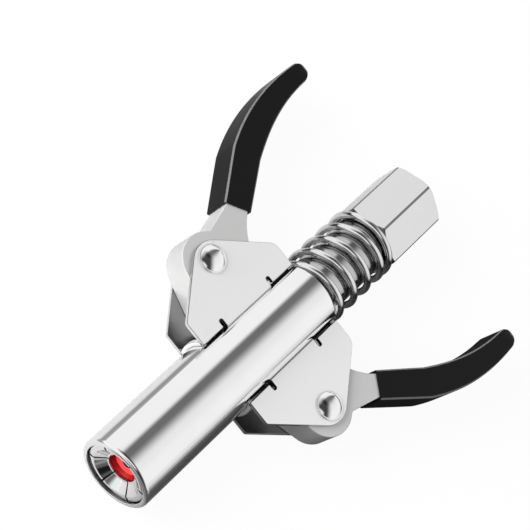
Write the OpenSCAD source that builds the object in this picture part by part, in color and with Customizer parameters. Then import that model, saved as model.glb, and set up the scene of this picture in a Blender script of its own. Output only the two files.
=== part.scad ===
// Lever-operated grease coupler.
// A spring holds a flared sleeve forward over six jaws, which grip a grease fitting.
// Squeezing the two levers draws the sleeve back along the stem and lets the jaws open.
// The X axis runs from the nose (negative) to the inlet, whose mouth is at the origin.
// The levers swing in the XY plane, and Z is the axis of their rivets.

/* [Sleeve] */
// Length of the sliding sleeve
sleeve_length = 73.2; // [60:0.1:90]
// Outside diameter of the sleeve
sleeve_diameter = 20; // [19:0.1:25]
// Bore of the sleeve
sleeve_bore = 15.8; // [13:0.1:16.4]
// How much the mouth flares beyond the bore, on the radius
mouth_flare = 0.7; // [0.5:0.05:0.9]
// Depth of the flared mouth
mouth_depth = 5.4; // [4.5:0.1:7]
// Radius of the rounded rim at the mouth
rim_round = 0.7; // [0.3:0.05:0.9]

/* [Stem] */
// Distance across the flats of the hexagon
hex_flats = 18; // [16:0.1:22]
// Length of the hexagon
hex_length = 21.7; // [16:0.1:28]
// Room for the main spring between the sleeve and the hexagon
spring_space = 25.7; // [20:0.1:34]
// Drilled diameter of the threaded inlet
inlet_diameter = 8.6; // [7:0.1:10]
// Depth of the inlet
inlet_depth = 11; // [8:0.5:13]
// Diameter of the grease passage
passage_diameter = 2.6; // [1.8:0.1:3.4]
// Radial clearance of the stem in the sleeve
guide_clearance = 0.05; // [0.02:0.01:0.09]

/* [Main spring] */
// Diameter of the spring wire
spring_wire = 1.9; // [1.4:0.1:2.2]
// Number of open turns
spring_turns = 4; // [3:0.5:6]
// Radial room between the spring and the stem
spring_room = 0.45; // [0.3:0.05:1]

/* [Jaws] */
// Diameter of the throat that the jaws leave open
throat_diameter = 7.9; // [6.6:0.1:8.2]
// Depth of the funnel, from the rim of the sleeve to the throat
funnel_depth = 2.6; // [2:0.1:3]
// Width of the split between two jaws at their outside
jaw_split = 0.35; // [0.2:0.05:0.6]
// Distance from the rim of the sleeve to the heel of the jaws
jaw_heel = 16.1; // [15.5:0.1:20]

/* [Seal and check valve] */
// Diameter of the rubber seal
seal_diameter = 8.8; // [8.4:0.1:9]
// Thickness of the cap that holds the seal
cap_wall = 0.65; // [0.5:0.05:0.8]
// Diameter of the check ball
ball_diameter = 4.4; // [3.8:0.1:4.6]
// Wire diameter of the check spring
check_wire = 0.44; // [0.3:0.02:0.5]

/* [Levers] */
// Distance from the back end of the sleeve to the rivets
pivot_from_back = 18.2; // [16:0.1:22]
// Height of the rivets above the outside of the sleeve
pivot_rise = 13.3; // [12.5:0.1:15]
// Thickness of the levers
lever_thickness = 9; // [7:0.1:10]
// Radius of the lever's round head
head_radius = 7.6; // [7.2:0.1:8.4]
// Diameter of the rivet's shank
rivet_diameter = 4.8; // [4:0.1:6]
// Diameter of the rivet's domed head
rivet_head = 7.6; // [6.6:0.1:8.4]
// Radial clearance of the lever on its rivet
rivet_clearance = 0.05; // [0.02:0.01:0.09]
// Angle of a full squeeze
squeeze_angle = 18; // [14:1:20]
// Radius of the lobe that reaches into the stem's groove
lobe_radius = 2.2; // [1.8:0.1:2.4]

/* [Grips] */
// Thickness of the dipped coat on the handles
grip_coat = 0.8; // [0.6:0.05:1.2]
// Half width of the grip at its start
grip_start_half = 3.9; // [3.4:0.1:4.6]
// Half width of the grip at its bend
grip_bend_half = 4.15; // [3.6:0.05:4.8]
// Half width of the grip at its tip
grip_tip_half = 2.2; // [1.8:0.05:2.8]

/* [Brackets] */
// Thickness of the bracket's sheet
bracket_sheet = 1.2; // [0.9:0.05:1.5]
// Gap between a lever and each plate
lever_side_gap = 0.1; // [0.05:0.01:0.3]
// Length of the bracket ahead of the rivet
bracket_front = 17.4; // [16.5:0.1:19]
// Length of the bracket behind the rivet
bracket_rear = 17.8; // [16.5:0.1:18.2]
// Length of the tab that is welded to the sleeve
weld_tab = 17.3; // [14:0.1:19]

/* [Hidden] */
$fn = 64;

chrome = "#d9dce0";
satin_steel = "#c4c6c8";
forged_steel = "#a9abad";
spring_steel = "#b9bcc0";
brass = "#b79a5b";
red_rubber = "#d8232a";
black_rubber = "#222222";
black_vinyl = "#1b1b1c";

// Small gaps: between pieces that touch, pieces that move past each other, and at the end of a hole
seat_gap = 0.02;
running_gap = 0.3;
end_gap = 0.5;

// Places along the X axis
hex_front = -hex_length;
sleeve_back = hex_front - spring_space;
nose = sleeve_back - sleeve_length;
pivot_x = sleeve_back - pivot_from_back;

// Radii
sleeve_r = sleeve_diameter / 2;
bore_r = sleeve_bore / 2;
mouth_r = bore_r + mouth_flare;
stem_r = bore_r - guide_clearance;
passage_r = passage_diameter / 2;
throat_r = throat_diameter / 2;
seal_r = seal_diameter / 2;
thread_gap = 0.05;
cap_bore_r = seal_r + thread_gap;
cap_r = cap_bore_r + cap_wall;
ball_r = ball_diameter / 2;

// Jaws, measured from the rim of the sleeve
jaw_recess = 0.6;
jaw_room = 0.45;
mouth_gap = 0.2;
front_ring = 1.4;
lip_width = 0.45;
lip_length = 0.6;
jaw_r = bore_r - jaw_room;
jaw_bore_r = cap_r + running_gap;
jaw_rib = 3.15;
jaw_count = 6;
jaw_step = 360 / jaw_count;
jaw_sweep = jaw_step - jaw_split / jaw_r * 180 / PI;
mouth_slope = mouth_flare / mouth_depth;
ring_wire = 1.2;
ring_gap = 0.15;
ring_back = 1.6;
rib_r = 3.85;
heel_groove_gap = 0.25;
heel_groove_r = rib_r - heel_groove_gap;

// Front end of the stem, measured from the rim of the sleeve
seal_setback = 0.15;
seal_thickness = 3.15;
seal_step = 0.95;
seal_lip = 0.25;
seal_hole_r = 1.1;
seal_rim = 0.7;
cup_depth = 1.3;
cup_taper = 0.9;
seal_front = funnel_depth + lip_length + seal_setback;
seal_back = seal_front + seal_thickness;
washer_thickness = 1;
pilot_front = seal_back + washer_thickness;
pilot_length = 3;
pilot_back = pilot_front + pilot_length;
heel_gap = 0.3;
groove_front = jaw_heel - jaw_rib - heel_gap;
flange_front = jaw_heel + heel_gap;
flange_length = 3.6;
flange_back = flange_front + flange_length;
carrier_washer_thickness = 0.8;
washer_inset = 0.4;
stem_front = flange_back + carrier_washer_thickness;
spigot_r = 4;
spigot_length = 9;
guide_length = 4;
groove_land = 6;
drill_point = 31;
hex_corner_cut = 0.15;
hex_chamfer = 0.85;
hex_chamfer_angle = 33;
chamber_gap = 0.4;
seat_setback = 0.6;
chamber_r = ball_r + chamber_gap;
seat_back = jaw_heel - seat_setback;
seat_front = seat_back - (chamber_r - passage_r);
ball_x = seat_back + passage_r - sqrt(2) * (ball_r + seat_gap);

// Levers: the frame of a lever has its rivet at the origin and its handle towards +X
pivot_y = sleeve_r + pivot_rise;
lobe_depth = 0.95;
lobe_y = stem_r - lobe_depth;
half_squeeze = squeeze_angle / 2;
lobe_arm = (pivot_y - lobe_y) / cos(half_squeeze);
lobe_angle = half_squeeze - 90;
lobe_centre = lobe_arm * [cos(lobe_angle), sin(lobe_angle)];
lobe_gap = 0.15;
lobe_neck = lobe_radius - running_gap;
rivet_r = rivet_diameter / 2;
rivet_dome = 1.7;
rivet_foot = 0.5;
rivet_ledge = 0.4;
plate_gap = lever_thickness + 2 * lever_side_gap;
plate_span = plate_gap + 2 * bracket_sheet;
heel_v = -(pivot_rise - running_gap);
heel_round = 1.2;
neck_start_angle = 46;
front_edge_angle = 163.7;
slot_end_gap = 0.4;
slot_side_gap = 0.2;
slot_reach = lobe_arm * sin(half_squeeze) + lobe_radius + slot_end_gap;
slot_width = lever_thickness + 2 * slot_side_gap;

// Brackets: heights above the sleeve, corner radii, and the notches beside the welded tab
front_rise = 6;
front_corner = 0.8;
rear_rise = 7.4;
rear_corner = 3;
crown_r = 6.1;
crown_drop = 1.4;
plate_lift = 1;
notch = 1.2;
notch_rise = 0.4;
strap = 1.3;

// Handle: a straight start and a curve whose control points lie in the lever's frame
handle_start = [16.3, 5.4];
handle_bend = [29, 14.3];
handle_curve = [handle_bend, [36.5, 18.3], [46, 22], [60, 22.1]];
handle_steps = 14;
notch_round = 1.5;
armpit_round = 19;
armpit_end = 160;
tip_sweep = 75;
grip_half_thickness = lever_thickness / 2 + grip_coat;
grip_edge = 1.6;
coat_gap = 0.08;
handle_corner = 0.12;
grip_tip_drop = 2;

// Main spring, with the share of a turn that lies flat on the sleeve
spring_r = stem_r + spring_room + spring_wire / 2;
spring_lead = 0.65;

// Shape functions

// Points of an arc, in the order in which it is drawn
function arc(centre, radius, from, to, steps = 12) =
    [for (i = [0:steps]) let (a = from + (to - from) * i / steps) centre + radius * [cos(a), sin(a)]];

// Angle of the normal of the line that touches two circles on their left
function touch_angle(c1, r1, c2, r2) =
    let (d = c2 - c1) atan2(d[1], d[0]) + acos((r1 - r2) / norm(d));

// Outline over a row of circles, given as [centre, radius], drawn from left to right
function over_circles(row) =
    [for (i = [0:len(row) - 1])
        let (from = i == 0 ? 180 : touch_angle(row[i - 1][0], row[i - 1][1], row[i][0], row[i][1]),
             to = i == len(row) - 1 ? 0 : touch_angle(row[i][0], row[i][1], row[i + 1][0], row[i + 1][1]))
        each arc(row[i][0], row[i][1], from, to)];

function bezier(p, t) =
    p[0] * pow(1 - t, 3) + 3 * p[1] * t * pow(1 - t, 2) + 3 * p[2] * t * t * (1 - t) + p[3] * pow(t, 3);

function bezier_way(p, t) =
    (p[1] - p[0]) * pow(1 - t, 2) + 2 * (p[2] - p[1]) * t * (1 - t) + (p[3] - p[2]) * t * t;

function unit(v) = v / norm(v);

function left_of(v) = [-v[1], v[0]];

// Handle stations as [centre, unit direction, half width of the grip], from the start to the tip
handle_stations = concat(
    [[handle_start, unit(handle_bend - handle_start), grip_start_half]],
    [for (i = [0:handle_steps])
        let (t = i / handle_steps)
        [bezier(handle_curve, t), unit(bezier_way(handle_curve, t)),
         grip_bend_half - (grip_bend_half - grip_tip_half) * t * t]]);
handle_tip = handle_stations[len(handle_stations) - 1];

// Points along one edge of the steel handle, side 1 is the outer edge and -1 the inner one
function handle_edge(side) =
    [for (s = handle_stations) s[0] + side * (s[2] - grip_coat) * left_of(s[1])];

// A closed outline of a rounded rectangle, as [across, along Z]
function soft_rectangle(half_w, half_h, r, steps = 3) =
    let (q = min(r, half_w * 0.8))
    [for (k = [0:3]) for (i = [0:steps])
        let (a = 90 * k + 90 * i / steps,
             sx = k == 0 || k == 3 ? 1 : -1,
             sz = k < 2 ? 1 : -1)
        [sx * (half_w - q) + q * cos(a), sz * (half_h - q) + q * sin(a)]];

// A cross-section of the handle, as points in space
function handle_ring(centre, way, half_w, half_h, r) =
    [for (p = soft_rectangle(half_w, half_h, r))
        let (c = centre + p[0] * left_of(way)) [c[0], c[1], p[1]]];

// Cross-sections that close the rounded tip of a handle, from its widest to its end
function tip_rings(half_w, half_h, r, drop) =
    [for (a = [20:16:84])
        handle_ring(handle_tip[0] + half_w * sin(a) * handle_tip[1], handle_tip[1],
                    half_w * cos(a), half_h - drop * (1 - cos(a)), r)];

function reversed(list) = [for (i = [len(list) - 1:-1:0]) list[i]];

// A solid through a list of rings that all have the same number of points
module skin(rings) {
    n = len(rings[0]);
    last = len(rings) - 1;
    points = [for (ring = rings) each ring];
    sides = [for (i = [0:last - 1]) for (j = [0:n - 1])
        let (k = (j + 1) % n) each [[i * n + j, i * n + k, (i + 1) * n + k],
                                    [i * n + j, (i + 1) * n + k, (i + 1) * n + j]]];
    ends = [[for (j = [n - 1:-1:0]) j], [for (j = [0:n - 1]) last * n + j]];
    polyhedron(points, concat(sides, ends));
}

// A turned piece: the outline is given as [radius, place along X]
module turned(outline) {
    rotate([0, 90, 0]) rotate_extrude() polygon(outline);
}

module rod(from, to, radius) {
    translate([from, 0, 0]) rotate([0, 90, 0]) cylinder(r = radius, h = to - from);
}

// A coil along X with flat half turns at both ends
module coil(from, to, radius, wire, turns, steps, sides, lead = 0.5) {
    rise = (to - from - wire) / turns;
    rings = [for (i = [-lead * steps:turns * steps + steps / 2])
        let (turn = i / steps,
             x = from + wire / 2 + rise * max(0, min(turns, turn)),
             a = 360 * turn)
        [for (j = [0:sides - 1])
            let (b = 360 * j / sides, r = radius + wire / 2 * cos(b))
            [x + wire / 2 * sin(b), r * cos(a), r * sin(a)]]];
    skin(rings);
}

// Stem group

// Hexagon, spring shank and guide in one piece, with the groove for the lever lobes
module stem() {
    front = nose + stem_front;
    edge = 0.4;
    groove_x = pivot_x + lobe_centre[0];
    groove_half = lobe_radius + lobe_gap;
    groove_flare = groove_half + lobe_depth * tan(15);
    bottom_r = lobe_y - lobe_radius - running_gap;
    relief = 0.6;
    relief_r = stem_r - relief;
    relief_front = front + guide_length;
    relief_back = groove_x - groove_flare - groove_land;
    inlet_r = inlet_diameter / 2;
    drill_tip = -inlet_depth - (inlet_r - passage_r) * tan(drill_point);
    corner_r = hex_flats / 2 / cos(30);
    blank_r = corner_r - hex_corner_cut;
    hex_edge_r = blank_r - hex_chamfer;
    hex_drop = hex_chamfer * tan(hex_chamfer_angle);
    color(chrome) difference() {
        union() {
            intersection() {
                translate([hex_front, 0, 0]) rotate([0, 90, 0])
                    cylinder(r = corner_r, h = hex_length, $fn = 6);
                turned([[0, hex_front], [hex_edge_r, hex_front], [blank_r, hex_front + hex_drop],
                        [blank_r, -hex_drop], [hex_edge_r, 0], [0, 0]]);
            }
            turned([[0, front], [stem_r - edge, front], [stem_r, front + edge],
                    [stem_r, relief_front], [relief_r, relief_front + relief],
                    [relief_r, relief_back - relief], [stem_r, relief_back],
                    [stem_r, groove_x - groove_flare], [lobe_y, groove_x - groove_half],
                    [bottom_r, groove_x - groove_half], [bottom_r, groove_x + groove_half],
                    [lobe_y, groove_x + groove_half], [stem_r, groove_x + groove_flare],
                    [stem_r, hex_front + 1], [0, hex_front + 1]]);
        }
        rod(-inlet_depth, 1, inlet_r);
        turned([[0, drill_tip], [passage_r, drill_tip], [inlet_r, -inlet_depth], [0, -inlet_depth]]);
        rod(front - 1, drill_tip + seat_gap, passage_r);
        rod(front - 1, front + spigot_length + end_gap, spigot_r + thread_gap);
    }
}

// Soft metal washer between the stem and the jaw carrier
module carrier_washer() {
    color(brass) difference() {
        rod(nose + flange_back, nose + stem_front, stem_r - washer_inset);
        rod(nose + flange_back - 1, nose + stem_front + 1, spigot_r + 2 * thread_gap);
    }
}

// Front piece of the stem: it holds the jaws by their heels and the check valve inside
module jaw_carrier() {
    spigot_back = nose + stem_front + spigot_length;
    color(satin_steel) difference() {
        turned([[0, nose + pilot_front], [seal_r, nose + pilot_front], [seal_r, nose + pilot_back],
                [cap_r, nose + pilot_back], [cap_r, nose + groove_front],
                [heel_groove_r, nose + groove_front], [heel_groove_r, nose + flange_front],
                [stem_r, nose + flange_front], [stem_r, nose + flange_back],
                [spigot_r, nose + flange_back], [spigot_r, spigot_back], [0, spigot_back]]);
        turned([[0, nose + pilot_front - 1], [chamber_r, nose + pilot_front - 1],
                [chamber_r, nose + seat_front], [passage_r, nose + seat_back],
                [passage_r, spigot_back + 1], [0, spigot_back + 1]]);
    }
}

module check_ball() {
    color(chrome) translate([nose + ball_x, 0, 0]) rotate([0, 90, 0])
        rotate_extrude() intersection() {
            circle(r = ball_r);
            translate([0, -ball_r]) square([ball_r, 2 * ball_r]);
        }
}

// The last turn of the check spring sits round the ball's front
module check_spring() {
    coil_r = ball_r - end_gap;
    coil_end = ball_x - sqrt(pow(ball_r + check_wire / 2, 2) - coil_r * coil_r) + check_wire / 2;
    color(spring_steel)
        coil(nose + pilot_front + seat_gap, nose + coil_end - seat_gap, coil_r, check_wire, 4, 14, 6);
}

module seal_washer() {
    color(brass) difference() {
        rod(nose + seal_back, nose + pilot_front, seal_r);
        rod(nose + seal_back - 1, nose + pilot_front + 1, seal_hole_r + 2 * thread_gap);
    }
}

// Rubber cup that presses on the fitting, with a flange that the cap holds
module seal() {
    cup_r = seal_r - seal_rim;
    cup_floor = nose + seal_front + cup_depth;
    color(red_rubber) difference() {
        turned([[0, nose + seal_front], [seal_r - seal_lip, nose + seal_front],
                [seal_r - seal_lip, nose + seal_front + seal_step], [seal_r, nose + seal_front + seal_step],
                [seal_r, nose + seal_back], [0, nose + seal_back]]);
        turned([[0, nose + seal_front - 1], [cup_r, nose + seal_front - 1], [cup_r, nose + seal_front],
                [cup_r - cup_taper, cup_floor], [0, cup_floor]]);
        rod(nose + seal_front, nose + seal_back + 1, seal_hole_r);
    }
}

// Thin cap on the pilot that keeps the seal in place
module seal_cap() {
    color(brass) difference() {
        rod(nose + seal_front + seal_step - cap_wall, nose + pilot_back, cap_r);
        rod(nose + seal_front + seal_step, nose + pilot_back + 1, cap_bore_r);
        rod(nose + seal_front - 1, nose + seal_back, seal_r - seal_lip + thread_gap);
    }
}

// One of the jaws that grip the fitting, numbered from the +Y side towards +Z
module jaw(index) {
    head_front = mouth_r - mouth_slope * jaw_recess - mouth_gap;
    head_back = jaw_recess + (head_front - jaw_r) / mouth_slope;
    ring_r = jaw_r - ring_wire;
    ring_half = ring_wire / 2 + ring_gap;
    ring_x = jaw_heel - ring_back;
    outline = [[head_front - front_ring, nose + jaw_recess], [head_front, nose + jaw_recess],
               [jaw_r, nose + head_back], [jaw_r, nose + ring_x - ring_half],
               [ring_r, nose + ring_x - ring_half], [ring_r, nose + ring_x + ring_half],
               [jaw_r, nose + ring_x + ring_half], [jaw_r, nose + jaw_heel],
               [rib_r, nose + jaw_heel], [rib_r, nose + jaw_heel - jaw_rib],
               [jaw_bore_r, nose + jaw_heel - jaw_rib], [jaw_bore_r, nose + funnel_depth + lip_length],
               [throat_r, nose + funnel_depth + lip_length], [throat_r, nose + funnel_depth],
               [throat_r + lip_width, nose + funnel_depth]];
    color(chrome) rotate([0, 90, 0]) rotate([0, 0, jaw_step * (index - 1) + 90 - jaw_sweep / 2])
        rotate_extrude(angle = jaw_sweep) polygon(outline);
}

// Rubber ring that holds the jaws together at their heels
module jaw_ring() {
    color(black_rubber) translate([nose + jaw_heel - ring_back, 0, 0]) rotate([0, 90, 0])
        rotate_extrude() translate([jaw_r - ring_wire / 2 + ring_gap, 0]) circle(r = ring_wire / 2);
}

// Sleeve group

// Tube with a flared mouth and a slot on each side for the lobes of the levers
module sleeve() {
    edge = running_gap;
    rim = arc([sleeve_r - rim_round, nose + rim_round], rim_round, -90, 0, 8);
    color(chrome) difference() {
        turned(concat([[mouth_r, nose]], rim,
                      [[sleeve_r, sleeve_back - edge], [sleeve_r - edge, sleeve_back],
                       [bore_r, sleeve_back], [bore_r, nose + mouth_depth]]));
        translate([pivot_x - slot_reach, -sleeve_r - 1, -slot_width / 2])
            cube([2 * slot_reach, 2 * sleeve_r + 2, slot_width]);
    }
}

// Outline of a bracket plate: rounded over the rivet, with relief notches beside the welded tab
module plate_outline() {
    low = sleeve_r * 0.75;
    lifted = sleeve_r - plate_lift;
    notch_top = sleeve_r + notch_rise;
    front = pivot_x - bracket_front;
    rear = pivot_x + bracket_rear;
    corners = [[[front + front_corner, sleeve_r + front_rise - front_corner], front_corner],
               [[pivot_x, pivot_y - crown_drop], crown_r],
               [[rear - rear_corner, sleeve_r + rear_rise - rear_corner], rear_corner]];
    difference() {
        polygon(concat([[front, low]], over_circles(corners), [[rear, low]]));
        for (side = [-1, 1]) {
            far = side * (bracket_front + bracket_rear);
            near = side * (weld_tab / 2);
            translate([pivot_x + min(near, far), 0]) square([abs(far - near), lifted]);
            translate([pivot_x + near + side * notch / 2, notch_top]) circle(d = notch);
            translate([pivot_x + near + (side < 0 ? -notch : 0), 0]) square([notch, notch_top]);
        }
    }
}

// Stamped bracket: two plates, joined at both ends by straps that hug the sleeve
module bracket() {
    color(satin_steel) difference() {
        union() {
            for (z = [-plate_span / 2, plate_gap / 2])
                translate([0, 0, z]) linear_extrude(bracket_sheet) plate_outline();
            for (x = [pivot_x - bracket_front, pivot_x + bracket_rear - strap])
                intersection() {
                    rod(x, x + strap, sleeve_r + bracket_sheet);
                    translate([x, 0, -plate_span / 2]) cube([strap, 2 * sleeve_r, plate_span]);
                }
        }
        rod(nose, 0, sleeve_r + seat_gap);
        translate([pivot_x, pivot_y, -plate_span]) cylinder(r = rivet_r + seat_gap, h = 2 * plate_span);
    }
}

// Rivet with a round foot and a low dome on each end
module rivet() {
    head_r = rivet_head / 2;
    dome_r = head_r - rivet_ledge;
    rise = rivet_dome - rivet_foot;
    ball = (dome_r * dome_r + rise * rise) / (2 * rise);
    color(chrome) translate([pivot_x, pivot_y, 0]) rotate_extrude() {
        translate([0, -plate_span / 2]) square([rivet_r, plate_span]);
        for (end = [0, 1]) mirror([0, end]) translate([0, plate_span / 2]) {
            square([head_r, rivet_foot]);
            translate([0, rivet_foot]) intersection() {
                translate([0, rise - ball]) circle(r = ball);
                square([dome_r, rise]);
            }
        }
    }
}

// Outline of a lever: lobe, heel, round head, notch and the handle inside the grip
function lever_outline() =
    let (out = left_of([cos(lobe_angle), sin(lobe_angle)]),
         neck_bend = acos(lobe_neck / lobe_radius),
         neck_front = lobe_centre - lobe_neck * out,
         neck_back = lobe_centre + lobe_neck * out,
         heel_n = [cos(front_edge_angle), sin(front_edge_angle)],
         corner_v = heel_v + heel_round,
         corner_u = (head_radius - heel_round - heel_n[1] * corner_v) / heel_n[0],
         outer = handle_edge(1),
         inner = reversed(handle_edge(-1)),
         neck_way = unit(outer[0] - head_radius * [cos(neck_start_angle), sin(neck_start_angle)]),
         neck_n = left_of(neck_way),
         off = outer[0] * neck_n + notch_round,
         reach = head_radius + notch_round,
         notch = off * neck_n + sqrt(reach * reach - off * off) * neck_way,
         notch_angle = atan2(notch[1], notch[0]),
         way_angle = atan2(handle_tip[1][1], handle_tip[1][0]),
         start_angle = atan2(handle_stations[0][1][1], handle_stations[0][1][0]),
         armpit = inner[len(inner) - 1] - armpit_round * left_of(handle_stations[0][1]),
         along_arm = function (p, v) p + [cos(lobe_angle), sin(lobe_angle)] * (v - p[1]) / sin(lobe_angle))
    concat(
        arc(lobe_centre, lobe_radius, lobe_angle + 90 + neck_bend, lobe_angle - 90 - neck_bend, 20),
        [along_arm(neck_front, heel_v)],
        arc([corner_u, corner_v], heel_round, -90, front_edge_angle - 360, 8),
        arc([0, 0], head_radius, front_edge_angle, notch_angle, 24),
        arc(notch, notch_round, notch_angle + 180, atan2(-neck_n[1], -neck_n[0]) + 360, 6),
        outer,
        arc(handle_tip[0], handle_tip[2] - grip_coat, way_angle + tip_sweep, way_angle - tip_sweep, 10),
        inner,
        arc(armpit, armpit_round, start_angle + 90, armpit_end, 8),
        [along_arm(neck_back, heel_v + running_gap)]);

module lever() {
    color(forged_steel) translate([pivot_x, pivot_y, 0]) difference() {
        translate([0, 0, -lever_thickness / 2]) linear_extrude(lever_thickness) polygon(lever_outline());
        translate([0, 0, -lever_thickness])
            cylinder(r = rivet_r + rivet_clearance, h = 2 * lever_thickness);
    }
}

// Dipped coat: a sock round the handle, open at its start
module grip() {
    inside_h = lever_thickness / 2 + coat_gap;
    inside_tip = tip_rings(handle_tip[2] - grip_coat + coat_gap, inside_h, handle_corner, 0);
    inside = [for (s = handle_stations)
        handle_ring(s[0], s[1], s[2] - grip_coat + coat_gap, inside_h, handle_corner)];
    outside = [for (s = handle_stations) handle_ring(s[0], s[1], s[2], grip_half_thickness, grip_edge)];
    outside_tip = tip_rings(handle_tip[2], grip_half_thickness, grip_edge, grip_tip_drop);
    color(black_vinyl) translate([pivot_x, pivot_y, 0])
        skin(concat(reversed(inside_tip), reversed(inside), outside, outside_tip));
}

module main_spring() {
    color(spring_steel)
        coil(sleeve_back + seat_gap, hex_front - seat_gap, spring_r, spring_wire, spring_turns, 20, 10,
             spring_lead);
}

module on_right() {
    mirror([0, 1, 0]) children();
}

stem();
carrier_washer();
jaw_carrier();
check_ball();
check_spring();
seal_washer();
seal();
seal_cap();
jaw(1);  // jaw_1
jaw(2);  // jaw_2
jaw(3);  // jaw_3
jaw(4);  // jaw_4
jaw(5);  // jaw_5
jaw(6);  // jaw_6
jaw_ring();
sleeve();
bracket();  // left_bracket
on_right() bracket();  // right_bracket
rivet();  // left_rivet
on_right() rivet();  // right_rivet
lever();  // left_lever
on_right() lever();  // right_lever
grip();  // left_grip
on_right() grip();  // right_grip
main_spring();
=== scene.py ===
# %% [markdown]
# # A lever-operated grease coupler
# The coupler locks onto a grease fitting. A spring holds a bright sleeve over six small jaws,
# and two squeeze levers draw the sleeve back so that the jaws can open.
# The solid model comes in as a fixed frame in metres. This lesson builds a finer copy of each
# piece that shows, hangs it on the body that carries it, and gives every piece a worked finish.

# %% Load the frame
import math

import bmesh
import bpy
from mathutils import Matrix, Vector


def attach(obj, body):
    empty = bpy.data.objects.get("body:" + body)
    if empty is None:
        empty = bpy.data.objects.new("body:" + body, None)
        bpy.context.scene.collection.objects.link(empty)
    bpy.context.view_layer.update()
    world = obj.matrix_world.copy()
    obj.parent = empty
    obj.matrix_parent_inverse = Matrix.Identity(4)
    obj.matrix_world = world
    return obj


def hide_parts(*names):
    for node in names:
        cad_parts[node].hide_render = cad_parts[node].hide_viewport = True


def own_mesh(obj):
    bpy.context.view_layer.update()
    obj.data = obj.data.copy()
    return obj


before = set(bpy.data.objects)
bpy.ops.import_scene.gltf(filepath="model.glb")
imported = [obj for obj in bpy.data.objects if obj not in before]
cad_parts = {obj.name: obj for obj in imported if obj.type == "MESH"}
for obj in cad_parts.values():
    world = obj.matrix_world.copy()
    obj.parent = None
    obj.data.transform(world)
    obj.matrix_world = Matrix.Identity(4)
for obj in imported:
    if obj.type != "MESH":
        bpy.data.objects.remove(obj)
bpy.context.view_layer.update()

# %% [markdown]
# ## Camera
# The photograph looks at the nose from above, with the camera tipped over to one side.
# The eye and its three directions were found by fitting a pinhole camera to the rivets, the plate ends
# and the hexagon's corners. A matrix of those directions sets the camera without any aiming.

# %% Camera
MM = 0.001
EYE = (-311.58, 56.64, 375.49)
RIGHT = (0.60996, -0.61773, 0.49634)
UP = (0.55221, 0.78057, 0.29286)
BACK = (-0.56834, 0.09545, 0.81724)
lens = bpy.data.cameras.new("photo_camera")
lens.sensor_fit = "HORIZONTAL"
lens.sensor_width = 36
lens.lens = 123.5
lens.clip_start = 0.01
camera = bpy.data.objects.new("photo_camera", lens)
camera.matrix_world = Matrix.Translation(Vector(EYE) * MM) @ Matrix((RIGHT, UP, BACK)).transposed().to_4x4()
bpy.context.scene.collection.objects.link(camera)
bpy.context.scene.camera = camera
bpy.context.scene.view_settings.view_transform = "Standard"
print("camera at", [round(v, 3) for v in camera.location])

# %% [markdown]
# ## Writing shaders as sums
# A finish is a small graph of nodes. Placing nodes one by one hides what the graph works out,
# so this class wraps one output socket and lets ordinary arithmetic add the Math nodes.
# Every other node comes from `add`, which sets the node's options first and then its sockets.


# %% The wire class
class Wire:
    """An output socket of a shader graph that can be used in sums."""

    def __init__(self, tree, socket=None):
        self.tree = tree
        self.socket = socket

    def add(self, kind, settings=None, inputs=None, output=0):
        node = self.tree.nodes.new(kind)
        for name, value in (settings or {}).items():
            if name == "stops":
                while len(node.color_ramp.elements) < len(value):
                    node.color_ramp.elements.new(1)
                for element, (place, colour) in zip(node.color_ramp.elements, value):
                    element.position = place
                    element.color = colour
            else:
                setattr(node, name, value)
        for name, value in (inputs or {}).items():
            if isinstance(value, Wire):
                self.tree.links.new(value.socket, node.inputs[name])
            else:
                node.inputs[name].default_value = value
        return Wire(self.tree, node.outputs[output])

    def sum(self, operation, first, second):
        return self.add("ShaderNodeMath", {"operation": operation}, {0: first, 1: second})

    def __add__(self, other):
        return self.sum("ADD", self, other)

    def __radd__(self, other):
        return self.sum("ADD", other, self)

    def __sub__(self, other):
        return self.sum("SUBTRACT", self, other)

    def __rsub__(self, other):
        return self.sum("SUBTRACT", other, self)

    def __mul__(self, other):
        return self.sum("MULTIPLY", self, other)

    def __rmul__(self, other):
        return self.sum("MULTIPLY", other, self)

    def angle_from(self, other):
        return self.sum("ARCTAN2", self, other)

    def split(self):
        return [self.add("ShaderNodeSeparateXYZ", None, {0: self}, axis) for axis in range(3)]

    def noise(self, scale, detail=2, vector=None):
        return self.add("ShaderNodeTexNoise", None,
                        {"Vector": vector or self, "Scale": scale, "Detail": detail})

    def stretched(self, scale):
        return self.add("ShaderNodeMapping", None, {"Vector": self, "Scale": scale})

    def between(self, low, high):
        """Blends two colours by this value."""
        return self.add("ShaderNodeMix", {"data_type": "RGBA"}, {0: self, 6: low, 7: high}, 2)

    def bump(self, distance, strength=1.0):
        return self.add("ShaderNodeBump", None,
                        {"Height": self, "Distance": distance, "Strength": strength})


print("wire class ready")

# %% [markdown]
# ## Finishes
# The coupler has bright plating on turned pieces, satin sheet, tumbled levers, drawn wire,
# dipped vinyl and moulded rubber. Each finish starts the same way: a shader and the place of the
# shaded point on the piece, read from Object coordinates so that the pattern stays on the piece.


# %% Starting a finish
def grey(value, warm=0.0):
    return (value + warm, value, value - warm, 1)


def start_finish(name, **constants):
    finish = bpy.data.materials.new(name)
    finish.use_nodes = True
    shader = finish.node_tree.nodes["Principled BSDF"]
    for socket, value in constants.items():
        shader.inputs[socket.replace("_", " ")].default_value = value
    place = Wire(finish.node_tree).add("ShaderNodeTexCoord", output="Object")
    return finish, shader, place


def feed(finish, shader, **wires):
    for socket, wire in wires.items():
        finish.node_tree.links.new(wire.socket, shader.inputs[socket.replace("_", " ")])
    print("finish", finish.name, len(finish.node_tree.nodes), "nodes")
    return finish


# %% [markdown]
# Bright plating mirrors the room. What makes it look real is what breaks the mirror a little:
# fine lines left by the lathe, which run round the axis and so depend on X alone,
# and soft smudges that make some places duller than others.


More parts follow.
